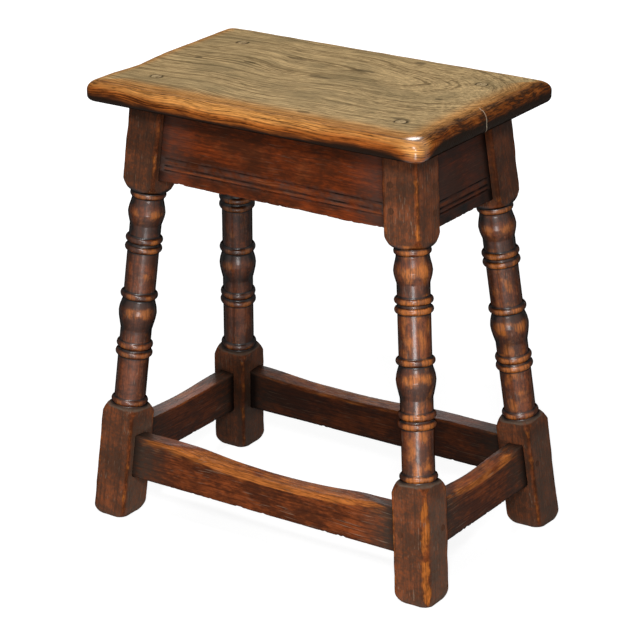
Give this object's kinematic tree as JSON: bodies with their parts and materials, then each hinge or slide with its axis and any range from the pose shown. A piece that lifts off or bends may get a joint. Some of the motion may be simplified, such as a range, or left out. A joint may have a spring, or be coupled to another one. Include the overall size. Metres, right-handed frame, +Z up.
{
  "type": "joint stool",
  "caption": "Oak joint stool: rectangular seat board on splayed turned legs, held by moulded frieze rails, low foot-worn stretchers and wooden pegs.",
  "frame": {"origin": "on the floor under the middle of the stool", "axes": "+X along the seat's length, towards the stool's right; +Y from the front to the back; +Z up"},
  "size_m": [0.4824, 0.2926, 0.544],
  "materials": {
    "oak_seat": "old oak, dry and worn, faint wax sheen",
    "oak_leg": "dark waxed oak, worn brighter on the rings and arrises",
    "oak_frieze": "red-brown waxed oak, darker by the legs",
    "oak_stretcher": "dark waxed oak, worn to golden oak on top",
    "oak_peg": "dark waxed end grain"
  },
  "bodies": {
    "root": {"seat_board": "oak_seat", "leg_front_left": "oak_leg", "leg_front_right": "oak_leg", "leg_back_left": "oak_leg", "leg_back_right": "oak_leg", "frieze_rail_front": "oak_frieze", "frieze_rail_right": "oak_frieze", "frieze_rail_back": "oak_frieze", "frieze_rail_left": "oak_frieze", "stretcher_front": "oak_stretcher", "stretcher_right": "oak_stretcher", "stretcher_back": "oak_stretcher", "stretcher_left": "oak_stretcher", "seat_peg_front_left": "oak_peg", "seat_peg_front_right": "oak_peg", "seat_peg_back_left": "oak_peg", "seat_peg_back_right": "oak_peg", "frieze_peg_front_left_upper": "oak_peg", "frieze_peg_front_left_lower": "oak_peg", "stretcher_peg_front_left": "oak_peg", "frieze_peg_front_right_upper": "oak_peg", "frieze_peg_front_right_lower": "oak_peg", "stretcher_peg_front_right": "oak_peg", "frieze_peg_right_front_upper": "oak_peg", "frieze_peg_right_front_lower": "oak_peg", "stretcher_peg_right_front": "oak_peg", "frieze_peg_right_back_upper": "oak_peg", "frieze_peg_right_back_lower": "oak_peg", "stretcher_peg_right_back": "oak_peg", "frieze_peg_back_left_upper": "oak_peg", "frieze_peg_back_left_lower": "oak_peg", "stretcher_peg_back_left": "oak_peg", "frieze_peg_back_right_upper": "oak_peg", "frieze_peg_back_right_lower": "oak_peg", "stretcher_peg_back_right": "oak_peg", "frieze_peg_left_front_upper": "oak_peg", "frieze_peg_left_front_lower": "oak_peg", "stretcher_peg_left_front": "oak_peg", "frieze_peg_left_back_upper": "oak_peg", "frieze_peg_left_back_lower": "oak_peg", "stretcher_peg_left_back": "oak_peg"}
  },
  "joints": []
}
